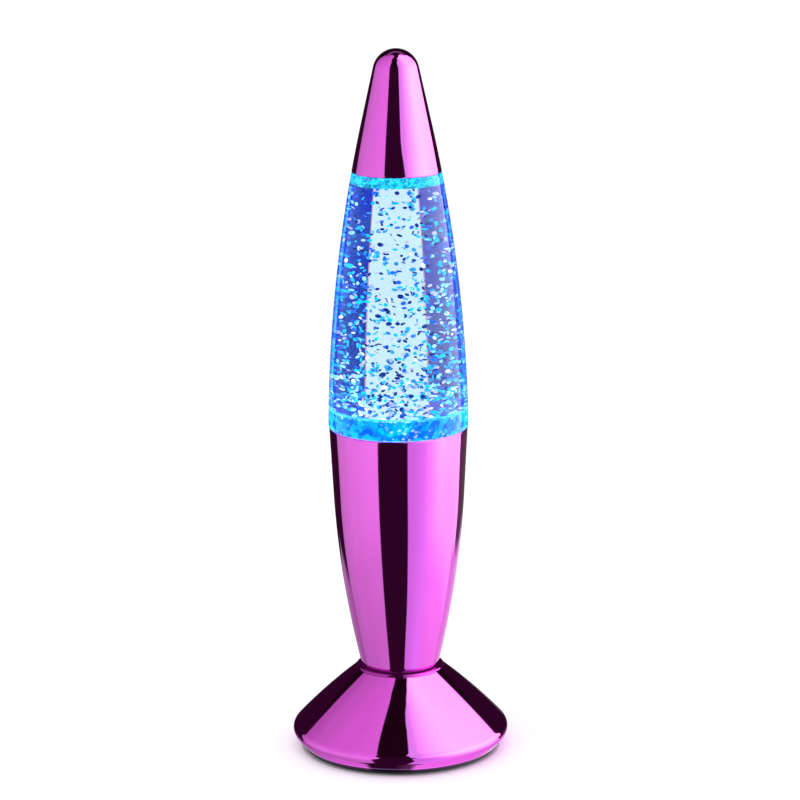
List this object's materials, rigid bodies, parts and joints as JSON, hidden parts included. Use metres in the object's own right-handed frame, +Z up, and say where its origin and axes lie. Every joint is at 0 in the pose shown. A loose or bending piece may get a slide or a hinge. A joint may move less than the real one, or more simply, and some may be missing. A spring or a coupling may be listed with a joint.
{
  "type": "glitter lamp",
  "caption": "Battery glitter lamp: flared metallised base, tapering body, clear pointed bottle of glitter liquid with a magnetic stirrer, and a pointed cap.",
  "frame": {"origin": "centre of the base at table level, on the lamp's axis", "axes": "+Z up along the lamp's axis to the tip of the cap; -Y is the front; the slide switch is at +Y and the screw of the battery door at +X"},
  "size_m": [0.1028, 0.1028, 0.335],
  "materials": {
    "plated_plastic": "vacuum-metallised magenta plating on moulded plastic, mirror gloss",
    "black_plastic": "fine moulded texture",
    "rubber": "soft matt rubber",
    "clear_plastic": "clear polished moulding",
    "liquid": "clear blue liquid with suspended glitter",
    "glitter_foil": "metallised foil flakes in mixed blue and silver tints",
    "screw_steel": "zinc plated",
    "spring_steel": "nickel plated",
    "cell_case": "plain wrapped metal can",
    "switch_plastic": "moulded",
    "terminal_brass": "bright",
    "motor_steel": "zinc-plated drawn can",
    "white_plastic": "moulded",
    "stirrer_plastic": "moulded translucent white",
    "shaft_steel": "ground",
    "magnet": "nickel plated",
    "circuit_board": "green solder mask",
    "led_lens": "clear lens",
    "chip_plastic": "moulded",
    "red_insulation": "insulated lead",
    "black_insulation": "insulated lead"
  },
  "bodies": {
    "lamp": {"base_shell": "plated_plastic", "battery_cell_1": "cell_case", "battery_cell_2": "cell_case", "battery_cell_3": "cell_case", "board_chip": "chip_plastic", "board_resistors": "chip_plastic", "board_screws": "screw_steel", "body_screws": "screw_steel", "body_shell": "plated_plastic", "bottle_floor": "clear_plastic", "bottle_shell": "clear_plastic", "bottom_plate": "black_plastic", "bridge_contact_1": "spring_steel", "bridge_contact_2": "spring_steel", "cap_shell": "plated_plastic", "contact_spring_1": "spring_steel", "contact_spring_2": "spring_steel", "contact_spring_3": "spring_steel", "filler_plug": "white_plastic", "floor_seal": "rubber", "foot_pads": "rubber", "frame_screws": "screw_steel", "glitter_flakes": "glitter_foil", "glitter_fluid": "liquid", "led_1": "led_lens", "led_2": "led_lens", "led_3": "led_lens", "led_4": "led_lens", "led_board": "circuit_board", "motor_bushings": "terminal_brass", "motor_can": "motor_steel", "motor_end_cap": "white_plastic", "motor_frame": "white_plastic", "motor_retainer": "white_plastic", "motor_terminals": "terminal_brass", "motor_wires": "black_insulation", "negative_contact": "spring_steel", "plate_screws": "screw_steel", "plug_seal": "rubber", "positive_contact": "spring_steel", "retainer_screws": "screw_steel", "stirrer_pin": "shaft_steel", "stirrer_washer": "shaft_steel", "supply_wire_black": "black_insulation", "supply_wire_red": "red_insulation", "switch_case": "switch_plastic", "switch_screws": "screw_steel", "switch_terminals": "terminal_brass", "switch_wire": "red_insulation"},
    "battery_door": {"battery_door": "black_plastic"},
    "door_screw": {"door_screw": "screw_steel"},
    "switch_knob": {"switch_knob": "switch_plastic"},
    "motor_rotor": {"motor_shaft": "shaft_steel", "magnet_carrier": "white_plastic", "drive_magnets": "magnet"},
    "stirrer": {"stirrer_rotor": "stirrer_plastic", "stirrer_magnets": "magnet"}
  },
  "joints": [
    {"name": "battery_door_hinge", "type": "hinge", "parent": "lamp", "child": "battery_door", "pos_m": [-0.02945, 0, 0.0005], "axis": [0, 1, 0], "range_deg": [0, 75]},
    {"name": "door_screw_turn", "type": "hinge", "parent": "battery_door", "child": "door_screw", "pos_m": [0.0348, 0, 0.0007], "axis": [0, 0, -1], "range_deg": [0, 1350]},
    {"name": "switch_slide", "type": "slide", "parent": "lamp", "child": "switch_knob", "axis": [1, 0, 0], "range_m": [-0.004, 0]},
    {"name": "motor_spin", "type": "hinge", "parent": "lamp", "child": "motor_rotor", "pos_m": [0, 0, 0.14], "axis": [0, 0, 1], "continuous": true},
    {"name": "stirrer_spin", "type": "hinge", "parent": "lamp", "child": "stirrer", "pos_m": [0, 0, 0.162], "axis": [0, 0, 1], "continuous": true}
  ],
  "couplings": [
    {"joint": "stirrer_spin", "follows": "motor_spin", "ratio": 1}
  ]
}
